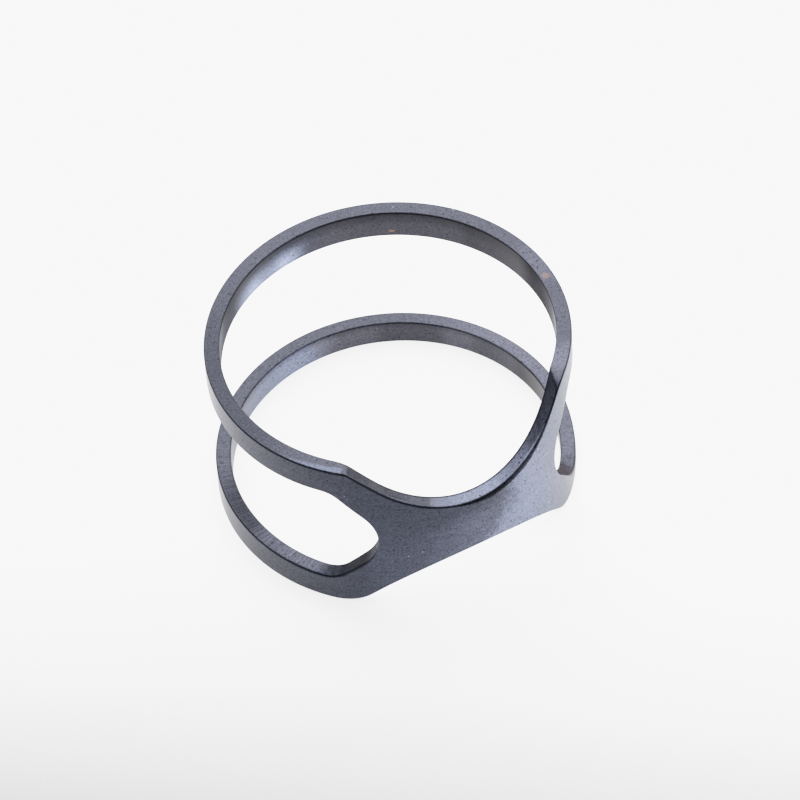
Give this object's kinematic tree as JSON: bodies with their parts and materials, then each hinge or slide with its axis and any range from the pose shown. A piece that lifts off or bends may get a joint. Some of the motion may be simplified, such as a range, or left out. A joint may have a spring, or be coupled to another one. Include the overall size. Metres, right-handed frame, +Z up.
{
  "type": "finger ring",
  "caption": "Finger ring of blackened metal: a thin tube with a window round the back, two slim bands and an hourglass front plate.",
  "frame": {"origin": "centre of the ring's lower end, on the axis of the finger hole, at the height of the surface it rests on", "axes": "+Z up along the finger's axis, -Y towards the middle of the front plate, +X to the plate's right as seen from in front"},
  "size_m": [0.0196, 0.0196, 0.0104],
  "materials": {
    "blackened_metal": "satin, blackened, with fine file and sanding marks"
  },
  "bodies": {
    "root": {"ring": "blackened_metal"}
  },
  "joints": []
}
